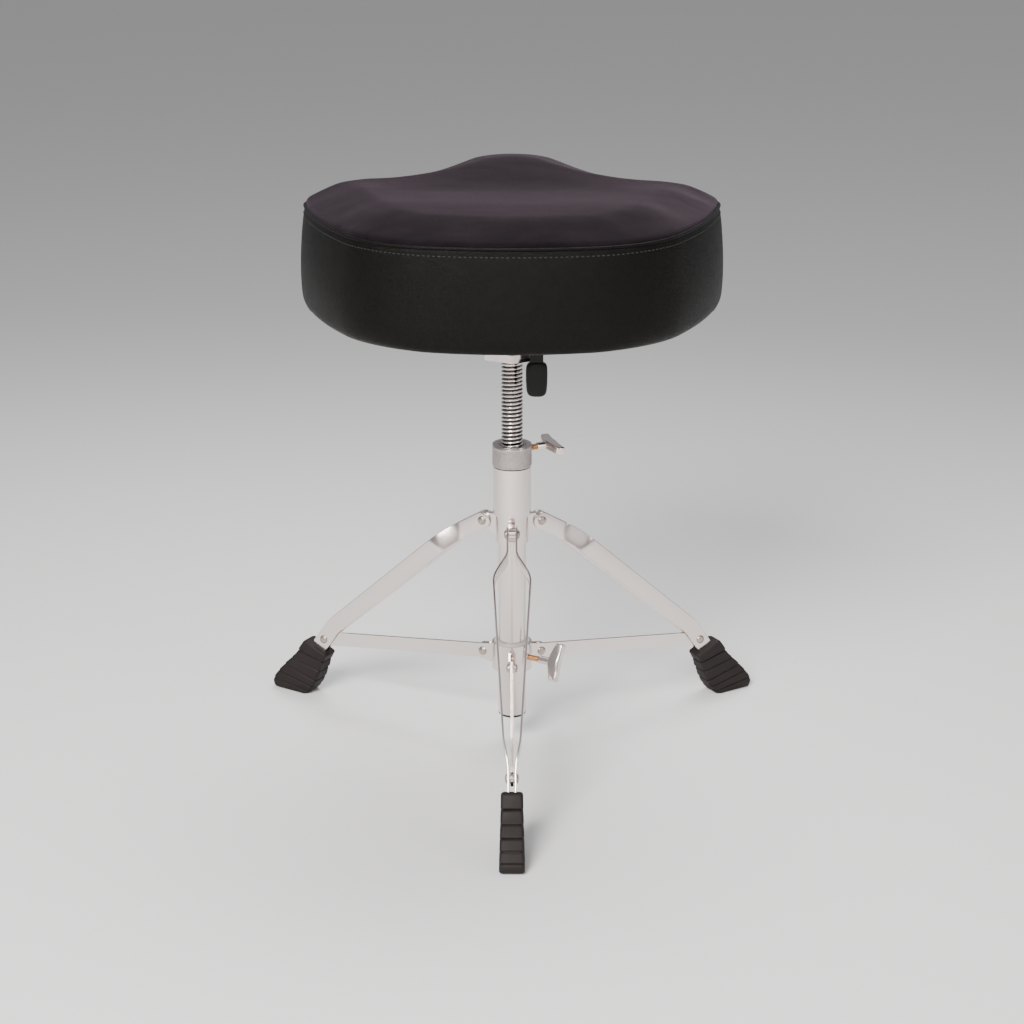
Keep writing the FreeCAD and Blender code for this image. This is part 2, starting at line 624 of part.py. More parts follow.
def outline_wire(inset, height):
    """The seat's closed outline, moved inward by inset, at the given height."""
    edges, mirrored = [], []
    for centre, radius, start, end in outline_arcs():
        points = []
        for heading in (start, (start + end) / 2, end):
            reach = Vector(math.sin(heading), -math.cos(heading), 0) * (radius - inset)
            points.append(Vector(centre.x, centre.y, height) + reach)
        edges.append(Part.Arc(*points).toShape())
        mirrored.append(Part.Arc(*[Vector(-p.x, p.y, p.z) for p in points[::-1]]).toShape())
    return Part.Wire(edges + mirrored[::-1])


def slab(inset, bottom, top):
    """The seat's outline as a straight-sided solid."""
    return Part.Face(outline_wire(inset, bottom)).extrude(Vector(0, 0, top - bottom))


def under_crown(drop):
    """Everything below the crown line, lowered by drop."""
    half = size["seat_reach"]
    floor = size["band_bottom"] - size["beyond"]
    curve = Part.BSplineCurve()
    curve.interpolate([Vector(-half, y, z - drop) for y, z in CROWN])
    first, last = curve.StartPoint, curve.EndPoint
    foot = [Vector(-half, last.y, floor), Vector(-half, first.y, floor)]
    edges = [curve.toShape(), Part.LineSegment(last, foot[0]).toShape(),
             Part.LineSegment(foot[0], foot[1]).toShape(),
             Part.LineSegment(foot[1], first).toShape()]
    return Part.Face(Part.Wire(edges)).extrude(Vector(2 * half, 0, 0))


def cushion(inset):
    """The whole cushion with rounded rims, moved inward by inset on its sides and top."""
    block = slab(inset, size["band_bottom"], size["seat_top"]).common(under_crown(inset))
    rim = [e for e in block.Edges if e.BoundBox.ZMin > size["seam"] + 5]
    block = block.makeFillet(size["crown_round"] - inset, rim)
    hem = [e for e in block.Edges if e.BoundBox.ZMax < size["band_bottom"] + 0.01]
    return block.makeFillet(size["hem_round"] - inset, hem)


def solid_node(shape, label):
    feature = document.addObject("Part::Feature", label)
    feature.Shape = shape
    return node(feature, label)


def at_bolts(radius, bottom, top):
    """A round pin at each of the bracket's four bolts, to cut with."""
    half = size["bolt_spacing"] / 2
    return Part.makeCompound([
        Part.makeCylinder(radius, top - bottom, Vector(a * half, b * half, bottom))
        for a in (1, -1) for b in (1, -1)])


def make_seat():
    outer = cushion(0.0)
    inner = cushion(size["skin"])
    shell = outer.cut(inner)
    low, seam = size["band_bottom"], size["seam"]
    floor = size["board_top"]
    beyond = size["beyond"]
    top_half = slab(-beyond, seam, size["seat_top"] + beyond)
    band = slab(-beyond, low - beyond, seam - 2 * size["piping_half"])
    well = slab(size["board_inset"], low - beyond, floor)
    solid_node(shell.common(top_half), "seat_top_cover")
    solid_node(shell.common(band).cut(well), "seat_side_band")
    welt = slab(-size["piping_out"], seam - 2 * size["piping_half"], seam)
    solid_node(welt.cut(slab(size["skin"], low, seam + 1)), "seam_piping")
    foam = inner.cut(slab(-beyond, low - beyond, floor))
    solid_node(foam.cut(at_bolts(size["nut_r"] + 0.3, floor - 1, floor + 3)), "seat_foam")
    holes = at_bolts(size["bolt_r"] + size["hole_gap"], low, floor + 1)
    board_inset = size["board_inset"] + size["board_gap"]
    solid_node(slab(board_inset, size["cloth_top"], floor).cut(holes), "seat_board")
    cloth = slab(board_inset, size["cloth_bottom"], size["cloth_top"])
    solid_node(cloth.cut(holes), "bottom_cloth")


def check_model():
    """Stop if any feature failed or any piece is empty or broken."""
    document.recompute()
    for thing in document.Objects:
        states = [s for s in thing.State if s in ("Invalid", "Error")]
        if states:
            raise RuntimeError(f"{thing.Label}: {states}")
    for piece in nodes:
        if piece.Shape.isNull() or not piece.Shape.isValid() or not piece.Shape.Solids:
            raise RuntimeError(f"{piece.Label}: its shape is empty or broken")


def write_parts():
    os.makedirs("parts", exist_ok=True)
    for piece in nodes:
        piece.Shape.exportStep(f"parts/{piece.Label}.step")


make_column()
make_lock_collar()
make_wing_bolt("collar_bolt", "spindle_r + 0.3")
make_wing_bolt("hub_bolt", "tube_r + 0.15")
make_upper_hub()
make_lower_hub()
make_rivets()
make_legs()
make_bracket()
make_fasteners()
make_clamp()
make_seat()
check_model()
write_parts()
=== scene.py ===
"""Looks of the drum throne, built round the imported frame. Metres, +Z up."""
import math

import bmesh
import bpy
from mathutils import Matrix, Vector, kdtree


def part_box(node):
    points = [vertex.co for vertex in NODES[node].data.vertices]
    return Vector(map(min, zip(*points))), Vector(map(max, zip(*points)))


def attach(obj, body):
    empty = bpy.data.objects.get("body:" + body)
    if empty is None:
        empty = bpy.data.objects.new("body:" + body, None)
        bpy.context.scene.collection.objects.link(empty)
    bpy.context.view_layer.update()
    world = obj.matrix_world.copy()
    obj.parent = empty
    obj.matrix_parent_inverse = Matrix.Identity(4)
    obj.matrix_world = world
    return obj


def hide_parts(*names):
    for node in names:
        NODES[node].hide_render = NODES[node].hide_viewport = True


bpy.ops.wm.read_factory_settings(use_empty=True)
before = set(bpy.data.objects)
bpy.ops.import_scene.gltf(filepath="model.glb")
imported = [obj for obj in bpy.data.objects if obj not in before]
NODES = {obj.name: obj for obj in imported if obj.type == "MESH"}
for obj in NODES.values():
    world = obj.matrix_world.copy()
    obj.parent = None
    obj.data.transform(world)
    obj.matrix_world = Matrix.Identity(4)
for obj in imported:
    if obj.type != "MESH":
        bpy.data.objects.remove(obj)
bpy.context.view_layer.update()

MM = 0.001
TAU = 2 * math.pi
UP = Vector((0, 0, 1))
LEGS = {"front": -90, "back_right": 30, "back_left": 150}


# ------------------------------------------------------------ small helpers

def low(node):
    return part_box(node)[0]


def high(node):
    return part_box(node)[1]


def unit(azimuth):
    """Horizontal direction at an azimuth in degrees."""
    return Vector((math.cos(math.radians(azimuth)), math.sin(math.radians(azimuth)), 0))


def smooth_step(value):
    """0 below 0, 1 above 1, and an eased rise between."""
    value = min(max(value, 0.0), 1.0)
    return value * value * (3 - 2 * value)


def new_mesh(name, points, faces, smooth=True):
    """An object in the scene with its faces turned outward."""
    mesh = bpy.data.meshes.new(name)
    mesh.from_pydata([tuple(p) for p in points], [], faces)
    mesh.update()
    work = bmesh.new()
    work.from_mesh(mesh)
    bmesh.ops.recalc_face_normals(work, faces=work.faces)
    work.to_mesh(mesh)
    work.free()
    for polygon in mesh.polygons:
        polygon.use_smooth = smooth
    thing = bpy.data.objects.new(name, mesh)
    bpy.context.scene.collection.objects.link(thing)
    return thing


def loft(rings, caps=True):
    """Points and faces of a skin over equal closed rings; a cap is one face over an end."""
    count = len(rings[0])
    points = [p for ring in rings for p in ring]
    faces = []
    for row in range(len(rings) - 1):
        for i in range(count):
            a = row * count + i
            b = row * count + (i + 1) % count
            faces.append((a, b, b + count, a + count))
    if caps:
        faces.append(tuple(range(count))[::-1])
        last = (len(rings) - 1) * count
        faces.append(tuple(last + i for i in range(count)))
    return points, faces


def join_parts(name, parts):
    """One object from several (points, faces) lists."""
    points, faces = [], []
    for part_points, part_faces in parts:
        start = len(points)
        points += part_points
        faces += [tuple(start + i for i in face) for face in part_faces]
    return new_mesh(name, points, faces)


def lathe(profile, segments, place=None):
    """Rings of a turned shape from (radius, height) points, about the placement's Z axis."""
    place = place or Matrix.Identity(4)
    rings = []
    for radius, height in profile:
        rings.append([place @ Vector((radius * math.cos(TAU * i / segments),
                                      radius * math.sin(TAU * i / segments), height))
                      for i in range(segments)])
    return rings


def axis_place(origin, direction):
    """Matrix whose Z axis points along direction."""
    turn = direction.to_track_quat("Z", "Y").to_matrix().to_4x4()
    return Matrix.Translation(origin) @ turn


def shade_by_angle(thing, degrees):
    """Smooth shading, with edges sharper than the angle left crisp."""
    bpy.context.view_layer.objects.active = thing
    for other in bpy.context.selected_objects:
        other.select_set(False)
    thing.select_set(True)
    bpy.ops.object.shade_smooth_by_angle(angle=math.radians(degrees))
    thing.select_set(False)


def bevel(thing, width):
    """Round over the edges that turn by more than 40 degrees."""
    modifier = thing.modifiers.new("soft_edges", "BEVEL")
    modifier.width = width
    modifier.segments = 3
    modifier.limit_method = "ANGLE"
    modifier.angle_limit = math.radians(40)
    modifier.harden_normals = True


def subdivide(thing):
    modifier = thing.modifiers.new("smooth", "SUBSURF")
    modifier.levels = 1
    modifier.render_levels = 1


def paint(thing, material):
    thing.data.materials.clear()
    thing.data.materials.append(material)


def stand_for(piece, body, slot, *nodes):
    """The piece rides on the body and replaces the CAD nodes; slot is not used."""
    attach(piece, body)
    if nodes:
        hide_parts(*nodes)


# ------------------------------------------------------------ materials

def material_base(name, colour, roughness, metallic=0.0):
    """A new material with its node tree's parts: (material, nodes, links, shader)."""
    material = bpy.data.materials.new(name)
    material.use_nodes = True
    nodes, links = material.node_tree.nodes, material.node_tree.links
    shader = nodes["Principled BSDF"]
    shader.inputs["Base Color"].default_value = (*colour, 1)
    shader.inputs["Roughness"].default_value = roughness
    shader.inputs["Metallic"].default_value = metallic
    return material, nodes, links, shader


def object_coords(nodes, links, scale=(1, 1, 1)):
    coords = nodes.new("ShaderNodeTexCoord")
    mapping = nodes.new("ShaderNodeMapping")
    mapping.inputs["Scale"].default_value = scale
    links.new(coords.outputs["Object"], mapping.inputs["Vector"])
    return mapping.outputs["Vector"]


def noise(nodes, links, vector, scale, detail=3.0, roughness=0.5):
    """Soft noise; scale is about the number of features per metre."""
    texture = nodes.new("ShaderNodeTexNoise")
    texture.inputs["Scale"].default_value = scale
    texture.inputs["Detail"].default_value = detail
    texture.inputs["Roughness"].default_value = roughness
    links.new(vector, texture.inputs["Vector"])
    return texture.outputs["Fac"]


def remap(nodes, links, value, low_in, high_in, low_out, high_out):
    span = nodes.new("ShaderNodeMapRange")
    span.inputs["From Min"].default_value = low_in
    span.inputs["From Max"].default_value = high_in
    span.inputs["To Min"].default_value = low_out
    span.inputs["To Max"].default_value = high_out
    links.new(value, span.inputs["Value"])
    return span.outputs["Result"]


def blend_colours(nodes, links, factor, first, second):
    mix = nodes.new("ShaderNodeMix")
    mix.data_type = "RGBA"
    links.new(factor, mix.inputs["Factor"])
    for socket, colour in ((mix.inputs[6], first), (mix.inputs[7], second)):
        if isinstance(colour, tuple):
            socket.default_value = (*colour, 1)
        else:
            links.new(colour, socket)
    return mix.outputs[2]


def bump(nodes, links, height, strength, distance, below=None):
    """Relief from a height; below is a coarser relief that it is added to."""
    node = nodes.new("ShaderNodeBump")
    node.inputs["Strength"].default_value = strength
    node.inputs["Distance"].default_value = distance
    links.new(height, node.inputs["Height"])
    if below is not None:
        links.new(below, node.inputs["Normal"])
    return node.outputs["Normal"]


def make_chrome():
    """Warm chrome plate, slightly satin and uneven."""
    material, nodes, links, shader = material_base("chrome_plate", (0.77, 0.69, 0.66), 0.2, 1.0)
    vector = object_coords(nodes, links)
    haze = noise(nodes, links, vector, 38, 4)
    links.new(remap(nodes, links, haze, 0.35, 0.75, 0.13, 0.27), shader.inputs["Roughness"])
    tint = noise(nodes, links, vector, 9, 2)
    links.new(blend_colours(nodes, links, tint, (0.8, 0.72, 0.69), (0.73, 0.65, 0.62)),
              shader.inputs["Base Color"])
    ripple = noise(nodes, links, vector, 160, 2)
    links.new(bump(nodes, links, ripple, 0.05, 0.0004), shader.inputs["Normal"])
    return material


def make_thread_steel(root, crest):
    """Chrome plate with painted shade: between two radii about the Z axis, its colour darkens to
    near-black towards the grooves' root.
    """
    material, nodes, links, shader = material_base("thread_steel", (0.7, 0.66, 0.64), 0.2, 1.0)
    vector = object_coords(nodes, links)
    flat = nodes.new("ShaderNodeVectorMath")
    flat.operation = "MULTIPLY"
    flat.inputs[1].default_value = (1, 1, 0)
    links.new(vector, flat.inputs[0])
    reach = nodes.new("ShaderNodeVectorMath")
    reach.operation = "LENGTH"
    links.new(flat.outputs[0], reach.inputs[0])
    # Painted shade: near-black at the thread's root, full chrome tint at the crest.
    rise = remap(nodes, links, reach.outputs["Value"], root, crest, 0.0, 1.0)
    links.new(blend_colours(nodes, links, rise, (0.045, 0.04, 0.037), (0.86, 0.8, 0.78)),
              shader.inputs["Base Color"])
    smear = noise(nodes, links, vector, 130, 3)
    links.new(remap(nodes, links, smear, 0.3, 0.7, 0.14, 0.34), shader.inputs["Roughness"])
    links.new(bump(nodes, links, smear, 0.1, 0.0003), shader.inputs["Normal"])
    return material


def make_satin_steel(name, colour, roughness, grain):
    """Dull plated steel; grain is about the number of specks per metre."""
    material, nodes, links, shader = material_base(name, colour, roughness, 1.0)
    vector = object_coords(nodes, links)
    speckle = noise(nodes, links, vector, grain, 4, 0.6)
    links.new(remap(nodes, links, speckle, 0.3, 0.7, roughness - 0.08, roughness + 0.14),
              shader.inputs["Roughness"])
    darker = tuple(c * 0.72 for c in colour)
    links.new(blend_colours(nodes, links, speckle, colour, darker), shader.inputs["Base Color"])
    links.new(bump(nodes, links, speckle, 0.25, 0.0002), shader.inputs["Normal"])
    return material


def make_moulded(name, colour, roughness, grain, depth, mottle=0.35):
    """Moulded plastic or rubber: fine speckle, uneven sheen and a little colour variation."""
    material, nodes, links, shader = material_base(name, colour, roughness)
    shader.inputs["Specular IOR Level"].default_value = 0.18
    vector = object_coords(nodes, links)
    speckle = noise(nodes, links, vector, grain, 3, 0.6)
    patches = noise(nodes, links, vector, 60, 3)
    paler = tuple(min(c * (1 + 2 * mottle) + 0.006, 1) for c in colour)
    links.new(blend_colours(nodes, links, patches, colour, paler), shader.inputs["Base Color"])
    links.new(remap(nodes, links, patches, 0.3, 0.7, roughness - 0.08, roughness + 0.1),
              shader.inputs["Roughness"])
    links.new(bump(nodes, links, speckle, 0.35, depth), shader.inputs["Normal"])
    return material


def make_vinyl():
    """Black grained vinyl: pebbles about a millimetre and a half across, with painted shade in the
    creases between them.
    """
    material, nodes, links, shader = material_base("grained_vinyl", (0.006, 0.005, 0.0044), 0.42)
    shader.inputs["Specular IOR Level"].default_value = 0.11
    vector = object_coords(nodes, links)
    drift = nodes.new("ShaderNodeTexNoise")
    drift.inputs["Scale"].default_value = 300
    links.new(vector, drift.inputs["Vector"])
    bent = nodes.new("ShaderNodeMix")
    bent.data_type = "VECTOR"
    bent.inputs["Factor"].default_value = 0.0012
    links.new(vector, bent.inputs[4])
    links.new(drift.outputs["Color"], bent.inputs[5])
    pebble = nodes.new("ShaderNodeTexVoronoi")
    pebble.feature = "DISTANCE_TO_EDGE"
    pebble.inputs["Scale"].default_value = 620
    links.new(bent.outputs[1], pebble.inputs["Vector"])
    # Painted shade: the colour darkens towards the creases between pebbles, where the relief is
    # lowest.
    grain = remap(nodes, links, pebble.outputs["Distance"], 0.0, 0.22, 0.0, 1.0)
    links.new(blend_colours(nodes, links, grain, (0.0012, 0.001, 0.0009), (0.0042, 0.0034, 0.0028)),
              shader.inputs["Base Color"])
    links.new(remap(nodes, links, grain, 0, 1, 0.55, 0.34), shader.inputs["Roughness"])
    soft = noise(nodes, links, vector, 26, 3)
    waves = bump(nodes, links, soft, 0.2, 0.002)
    links.new(bump(nodes, links, grain, 0.55, 0.00035, waves), shader.inputs["Normal"])
    return material


def make_velour():
    """Short-pile velour: brushed patches, a dense nap and a soft edge sheen."""
    material, nodes, links, shader = material_base("aubergine_velour", (0.03, 0.022, 0.034), 0.95)
    vector = object_coords(nodes, links)
    brushed = noise(nodes, links, object_coords(nodes, links, (1, 2.4, 1)), 14, 5, 0.6)
    nap = noise(nodes, links, vector, 900, 2, 0.7)
    fleck = nodes.new("ShaderNodeMath")
    fleck.operation = "MULTIPLY"
    links.new(remap(nodes, links, brushed, 0.32, 0.7, 0.25, 1.0), fleck.inputs[0])
    links.new(remap(nodes, links, nap, 0.3, 0.72, 0.35, 1.0), fleck.inputs[1])
    links.new(blend_colours(nodes, links, fleck.outputs[0],
                            (0.0016, 0.0012, 0.0015), (0.0145, 0.0102, 0.0132)),
              shader.inputs["Base Color"])
    shader.inputs["Sheen Weight"].default_value = 0.17
    shader.inputs["Sheen Roughness"].default_value = 0.4
    shader.inputs["Sheen Tint"].default_value = (0.5, 0.38, 0.48, 1)
    shader.inputs["Specular IOR Level"].default_value = 0.08
    waves = bump(nodes, links, brushed, 0.25, 0.0012)
    links.new(bump(nodes, links, nap, 0.6, 0.0006, waves), shader.inputs["Normal"])
    return material


def make_plywood():
    """Plies that show as bands on the board's edge."""
    material, nodes, links, shader = material_base("plywood", (0.55, 0.4, 0.24), 0.6)
    plies = nodes.new("ShaderNodeTexWave")
    plies.bands_direction = "Z"
    plies.inputs["Scale"].default_value = 160
    plies.inputs["Distortion"].default_value = 1.5
    links.new(object_coords(nodes, links), plies.inputs["Vector"])
    links.new(blend_colours(nodes, links, plies.outputs["Fac"], (0.6, 0.44, 0.27),
                            (0.36, 0.24, 0.13)), shader.inputs["Base Color"])
    links.new(bump(nodes, links, plies.outputs["Fac"], 0.2, 0.0004), shader.inputs["Normal"])
    return material


def make_dust_cloth():
    """Thin black cloth with a plain weave."""
    material, nodes, links, shader = material_base("dust_cloth", (0.012, 0.012, 0.012), 0.9)
    threads = []
    for direction in ("X", "Y"):
        wave = nodes.new("ShaderNodeTexWave")
        wave.bands_direction = direction
        wave.inputs["Scale"].default_value = 420
        links.new(object_coords(nodes, links), wave.inputs["Vector"])
        threads.append(wave.outputs["Fac"])
    weave = nodes.new("ShaderNodeMath")
    weave.operation = "MAXIMUM"
    links.new(threads[0], weave.inputs[0])
    links.new(threads[1], weave.inputs[1])
    links.new(blend_colours(nodes, links, weave.outputs[0], (0.006, 0.006, 0.006),
                            (0.024, 0.024, 0.025)), shader.inputs["Base Color"])
    links.new(bump(nodes, links, weave.outputs[0], 0.4, 0.0003), shader.inputs["Normal"])
    return material


def make_thread():
    """Dark stitching thread."""
    material, nodes, links, shader = material_base("stitch_thread", (0.016, 0.014, 0.013), 0.55)
    twist = noise(nodes, links, object_coords(nodes, links), 1500, 2)
    links.new(blend_colours(nodes, links, twist, (0.004, 0.0036, 0.0033), (0.015, 0.0135, 0.0125)),
              shader.inputs["Base Color"])
    links.new(bump(nodes, links, twist, 0.4, 0.0002), shader.inputs["Normal"])
    return material


CHROME = make_chrome()
SATIN = make_satin_steel("knurled_satin", (0.55, 0.5, 0.48), 0.24, 900)
RIVET = make_satin_steel("rivet_steel", (0.5, 0.43, 0.38), 0.3, 500)
ZINC = make_satin_steel("zinc_steel", (0.62, 0.61, 0.58), 0.34, 420)
BRASS = make_satin_steel("yellow_passivate", (0.72, 0.4, 0.2), 0.3, 600)
PALE_NYLON = make_moulded("pale_nylon", (0.34, 0.33, 0.32), 0.4, 500, 0.0002, 0.1)
NYLON = make_moulded("black_nylon", (0.02, 0.02, 0.021), 0.45, 500, 0.0002)
PLASTIC = make_moulded("black_plastic", (0.0035, 0.0035, 0.0035), 0.42, 700, 0.00015)
RUBBER = make_moulded("moulded_rubber", (0.0068, 0.005, 0.0046), 0.62, 420, 0.0004, 0.5)
VINYL = make_vinyl()
VELOUR = make_velour()
PLYWOOD = make_plywood()
CLOTH = make_dust_cloth()
THREAD = make_thread()

CAD_LOOKS = {
    "lower_tube": CHROME, "upper_sleeve": CHROME, "upper_hub": CHROME, "lower_hub": CHROME,
    "seat_bracket": CHROME, "spindle_stop": ZINC, "sleeve_bush": NYLON, "spindle_guide": NYLON,
    "collar_washer": NYLON, "lower_hub_bush": PALE_NYLON, "tube_end_plug": PLASTIC,
    "bracket_bolts": ZINC, "tee_nuts": ZINC, "clamp_screw": ZINC, "seat_board": PLYWOOD,
    "bottom_cloth": CLOTH, "collar_bolt_stud": BRASS, "hub_bolt_stud": BRASS,
}
for leg in LEGS:
    CAD_LOOKS[f"{leg}_brace"] = CHROME
    CAD_LOOKS[f"{leg}_brace_bush"] = ZINC
# Width in millimetres of the rounding on a CAD piece's edges.
SOFT_EDGES = {"upper_hub": 0.8, "lower_hub": 0.8, "seat_bracket": 0.8, "lower_tube": 0.4,
              "upper_sleeve": 0.5, "clamp_screw": 0.4, "tube_end_plug": 0.4}


def finish_cad_nodes():
    """Give the pieces that keep their CAD shape a material and soft edges."""
    for name, material in CAD_LOOKS.items():
        thing = NODES[name]
        paint(thing, material)
        width = SOFT_EDGES.get(name, 0.45 if name.endswith("brace") else 0)
        if width:
            bevel(thing, width * MM)


# ------------------------------------------------------------ seat

SEAM_Z = high("seam_piping").z
BAND_LOW = low("seat_side_band").z
NOSE_Z = high("seat_top_cover").z
REAR_Y = low("seat_side_band").y
# Radius (mm) and turn (degrees) of each tangent arc of the outline's right half, rear to nose.
OUTLINE_ARCS = [(368, 12.5), (112, 49.4), (495, 19.1), (54, 115.7), (-64, -73)]
COLUMNS = 260
CROWN_Y = -5 * MM
SIDE_BULGE, HEM_LIFT, HEM_RISE, CROWN_INSET = 4.6 * MM, 6 * MM, 8 * MM, 43 * MM
# Inset, height and rear corner lift (mm) of each ring of the hem, from under the board outward.
HEM = [(13, 2.2, 0), (9, 0.6, 0.4), (5, 0.3, 2.4), (2.4, 1.6, 4), (0.9, 4.2, 5.2), (0.1, 8, 6)]
ROLL_INSETS = (1.6, 3.5, 7, 11, 16, 22, 28, 34, 43)


def outline_arcs():
    """(centre, radius, first and last heading) of each arc, the last one closing at the nose."""
    arcs = []
    point, heading = Vector((0, REAR_Y)), 0.0
    for radius, turned in OUTLINE_ARCS:
        radius *= MM
        centre = point + Vector((-math.sin(heading), math.cos(heading))) * radius
        arcs.append((centre, radius, heading, heading + math.radians(turned)))
        heading += math.radians(turned)
        point = centre + Vector((math.sin(heading), -math.cos(heading))) * radius
    nose = point.x / math.sin(heading)
    centre = point + Vector((-math.sin(heading), math.cos(heading))) * nose
    arcs.append((centre, nose, heading, math.pi))
    return arcs


ARCS = outline_arcs()


def outline_station(fraction):
    """Point and inward normal on the right half, at a fraction of its length."""
    lengths = [abs(radius * (end - start)) for _, radius, start, end in ARCS]
    reach = fraction * sum(lengths)
    for (centre, radius, start, end), length in zip(ARCS, lengths):
        if reach <= length or (centre, radius, start, end) == ARCS[-1]:
            heading = start + (end - start) * min(reach / length, 1.0)
            outward = Vector((math.sin(heading), -math.cos(heading)))
            return centre + outward * radius, -outward
        reach -= length


def outline(inset, sides=0.0, height=0.0, corners=0.0):
    """The closed outline moved inward by inset, counter-clockwise from the rear middle.

    The cushion's sides move out by a further amount, and its rear corners are lifted.
    """
    half = COLUMNS // 2
    right = []
    for i in range(half + 1):
        point, inward = outline_station(i / half)
        facing = inward.x ** 2
        moved = point + inward * (inset - sides * facing)
        lift = corners * 4 * facing * (1 - facing) if point.y < 0 else 0.0
        right.append(Vector((moved.x, moved.y, height + lift)))
    left = [Vector((-p.x, p.y, p.z)) for p in right[1:-1]][::-1]
    return right + left


def crown_height(x, y):
    """Height of the cushion's top away from its rolled rim.

    A level rear part takes a dish in the middle, the rising nose, a hollow for each thigh, a
    slight lean to one side and a fall towards the rear edge. Each is a depth times its reach.
    """
    rear = SEAM_Z + 19.5 * MM
    nose_rise = NOSE_Z - 0.8 * MM - rear
    dish_depth, thigh_depth, lean_depth, fall_depth = 3.5 * MM, 2.5 * MM, 2.0 * MM, 5.0 * MM
    dish = -dish_depth * math.exp(-((y + 0.01) / 0.085) ** 2 - (x / 0.15) ** 2)
    nose = nose_rise * smooth_step((y + 0.01) / 0.13) * math.exp(-(abs(x) / 0.112) ** 2.6)
    thigh = -thigh_depth * math.exp(-((abs(x) - 0.15) / 0.05) ** 2) * smooth_step(y / 0.05)
    lean = -lean_depth * smooth_step((x - 0.05) / 0.1)
    fall = -fall_depth * smooth_step((-y - 0.07) / 0.08)
    return rear + dish + nose + thigh + lean + fall


def roll_width(y):
    """How far the rolled rim reaches inward: tighter along the rear edge."""
    return (38 - 13 * smooth_step((-y - 0.05) / 0.08)) * MM


def seat_rows():
    """Rings of the cushion from the turned-under hem to the middle of the crown."""
    rows = []
    height = SEAM_Z - BAND_LOW
    for inset, rise, corners in HEM:
        rows.append(outline(inset * MM, SIDE_BULGE, BAND_LOW + rise * MM, corners * MM))
    steps = 16
    seam_gap = 1.5 * MM
    for i in range(1, steps + 1):
        share = i / steps
        bulge = 1.2 * MM * math.sin(math.pi * share) ** 0.8
        sides = SIDE_BULGE * (1 - share ** 1.6)
        rise = HEM_RISE + share * (height - HEM_RISE - seam_gap)
        rows.append(outline(-bulge, sides, BAND_LOW + rise, HEM_LIFT * (1 - share)))
    seam_row = len(rows)
    rows.append(outline(1.2 * MM, 0, SEAM_Z))
    for inset in ROLL_INSETS:
        ring = []
        for p in outline(inset * MM):
            rolled = math.sqrt(1 - (1 - min(inset * MM / roll_width(p.y), 1.0)) ** 2)
            ring.append(Vector((p.x, p.y, SEAM_Z + (crown_height(p.x, p.y) - SEAM_Z) * rolled)))
        rows.append(ring)
    rim = outline(CROWN_INSET)
    middle = Vector((0, CROWN_Y, 0))
    inner_rings = 20
    for i in range(1, inner_rings + 1):
        keep = 1 - i / (inner_rings + 1)
        ring = []
        for p in rim:
            q = middle + (p - middle) * keep
            ring.append(Vector((q.x, q.y, crown_height(q.x, q.y))))
        rows.append(ring)
    return rows, seam_row


def cushion_form(rows):
    """An evenly meshed closed copy of the cushion."""
    centre = Vector((0, CROWN_Y, crown_height(0, CROWN_Y)))
    points, faces = loft(rows, caps=False)
    count = len(rows[0])
    points = points + [centre, Vector((0, 0, BAND_LOW + 3 * MM))]
    last = (len(rows) - 1) * count
    faces += [(last + i, last + (i + 1) % count, len(points) - 2) for i in range(count)]
    faces += [((i + 1) % count, i, len(points) - 1) for i in range(count)]
    pad = new_mesh("cloth_form", points, faces)
    remesh = pad.modifiers.new("remesh", "REMESH")
    remesh.mode = "VOXEL"
    remesh.voxel_size = 6 * MM
    bpy.context.view_layer.objects.active = pad
    bpy.ops.object.modifier_apply(modifier="remesh")
    return pad


def hold_hem_and_seam(pad, rest):
    """Pin the cloth at the hem and along the seam."""
    held = pad.vertex_groups.new(name="held")
    for index, co in enumerate(rest):
        hem = smooth_step((BAND_LOW + 14 * MM - co.z) / (10 * MM))
        rim = max(0.0, 1 - abs(co.z - SEAM_Z) / (5 * MM))
        near = abs(co.z - SEAM_Z) < 6 * MM and not inside_outline(co, 10 * MM)
        weight = max(hem, rim if near else 0.0)
        if weight > 0.01:
            held.add([index], weight, "REPLACE")


def inflate(pad):
    """Points of the form after its cloth has swollen under pressure."""
    frames = 20
    cloth = pad.modifiers.new("cloth", "CLOTH")
    cloth.settings.quality = 6
    cloth.settings.use_pressure = True
    cloth.settings.uniform_pressure_force = 10
    cloth.settings.shrink_min = -0.003
    cloth.settings.mass = 0.3
    cloth.settings.tension_stiffness = 6
    cloth.settings.compression_stiffness = 6
    cloth.settings.shear_stiffness = 3
    cloth.settings.bending_stiffness = 2.5
    cloth.settings.vertex_group_mass = "held"
    cloth.settings.effector_weights.gravity = 0
    cloth.collision_settings.use_collision = False
    for step in range(1, frames + 1):
        bpy.context.scene.frame_set(step)
    graph = bpy.context.evaluated_depsgraph_get()
    swollen = [v.co.copy() for v in pad.evaluated_get(graph).data.vertices]
    bpy.data.objects.remove(pad)
    bpy.context.scene.frame_set(1)
    return swollen


def puff(rows, seam_row, cap):
    """Let a pressurised cloth copy of the cushion swell, and carry its movement to the rows.

    No point moves by more than cap, and the hem and the seam stay where they are.
    """
    pad = cushion_form(rows)
    rest = [v.co.copy() for v in pad.data.vertices]
    hold_hem_and_seam(pad, rest)
    swollen = inflate(pad)
    nearest, side_columns = 14, 3
    tree = kdtree.KDTree(len(rest))
    for index, co in enumerate(rest):
        tree.insert(co, index)
    tree.balance()
    for number, row in enumerate(rows):
        hold = smooth_step(abs(number - seam_row) / 3) * smooth_step((number - 1) / 5)
        moves = []
        for point in row:
            total, moved = 0.0, Vector()
            for co, index, distance in tree.find_n(point, nearest):
                weight = 1 / (distance + 4 * MM)
                total += weight
                moved += (swollen[index] - rest[index]) * weight
            moved /= total
            if moved.length > cap:
                moved *= cap / moved.length
            moves.append(moved)
        for index, point in enumerate(row):
            near = [moves[(index + k) % len(moves)]
                    for k in range(-side_columns, side_columns + 1)]
            point += sum(near, Vector()) * (hold / len(near))


